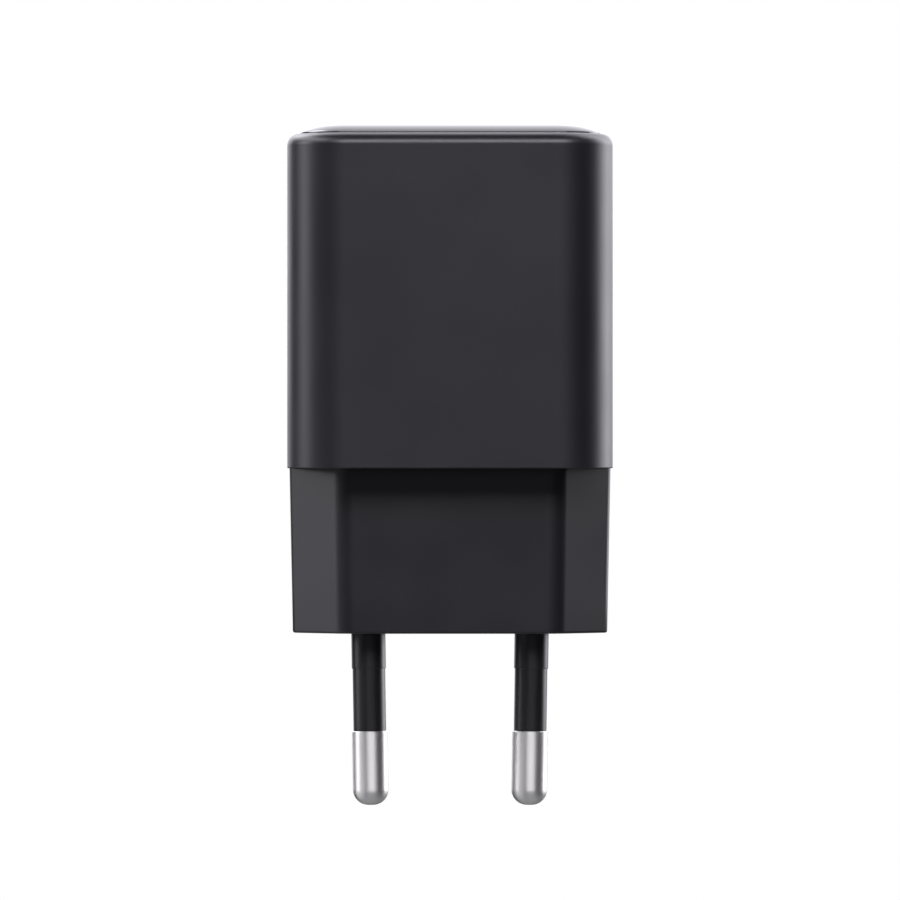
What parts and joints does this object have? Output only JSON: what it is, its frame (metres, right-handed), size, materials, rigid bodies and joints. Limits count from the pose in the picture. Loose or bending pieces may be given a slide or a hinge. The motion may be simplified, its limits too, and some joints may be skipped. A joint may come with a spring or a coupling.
{
  "type": "usb wall charger",
  "caption": "Compact upright mains charger with a domed top plate for its ports, a flat eight-sided plug body and two round sleeved pins leaning inward.",
  "frame": {"origin": "middle of the plug's engagement face, between the pins", "axes": "+Z from the engagement face up to the ports, X across the two pins, -Y the front; the pins point down -Z"},
  "size_m": [0.0362, 0.0286, 0.0757],
  "materials": {
    "housing_plastic": "fine satin",
    "plate_plastic": "polished",
    "base_plastic": "fine satin",
    "sleeve_nylon": "satin",
    "pin_metal": "bright nickel plating",
    "natural_nylon": "satin",
    "contact_bronze": "bright",
    "board_epoxy": "solder mask",
    "fuse_case": "satin",
    "varistor_coat": "dipped epoxy",
    "ferrite": "matt",
    "chip_resin": "matt",
    "film_capacitor_case": "satin",
    "enamelled_copper": "enamel",
    "capacitor_can": "printed film over aluminium",
    "disc_capacitor_coat": "dipped epoxy",
    "bobbin_resin": "satin",
    "winding_tape": "polyester tape over copper",
    "ceramic_chip": "matt",
    "polymer_can": "bright",
    "port_steel": "nickel plated",
    "port_resin": "satin",
    "gold_contact": "gold flash",
    "insulating_film": "matt",
    "spreader_sheet": "mill",
    "gap_pad": "matt"
  },
  "bodies": {
    "root": {"housing": "housing_plastic", "face_plate": "plate_plastic", "plug_base": "base_plastic", "pin_left": "pin_metal", "pin_right": "pin_metal", "sleeve_left": "sleeve_nylon", "sleeve_right": "sleeve_nylon", "pin_retainer": "natural_nylon", "contact_spring_left": "contact_bronze", "contact_spring_right": "contact_bronze", "main_board": "board_epoxy", "port_board": "board_epoxy", "fuse": "fuse_case", "varistor": "varistor_coat", "filter_inductor": "ferrite", "bridge_rectifier": "chip_resin", "x_capacitor": "film_capacitor_case", "choke_core": "ferrite", "choke_windings": "enamelled_copper", "bulk_capacitor_front": "capacitor_can", "bulk_capacitor_rear": "capacitor_can", "y_capacitor": "disc_capacitor_coat", "transformer_core": "ferrite", "transformer_bobbin": "bobbin_resin", "transformer_windings": "winding_tape", "primary_controller": "chip_resin", "sync_rectifier": "chip_resin", "optocoupler": "chip_resin", "small_parts": "ceramic_chip", "output_capacitors": "polymer_can", "port_controller": "chip_resin", "load_switch": "chip_resin", "usb_c_frame": "port_steel", "usb_c_tongue": "port_resin", "usb_c_contacts": "gold_contact", "usb_a_frame": "port_steel", "usb_a_tongue": "port_resin", "usb_a_contacts": "gold_contact", "insulation_sheet": "insulating_film", "heat_spreader": "spreader_sheet", "thermal_pad": "gap_pad"}
  },
  "joints": []
}
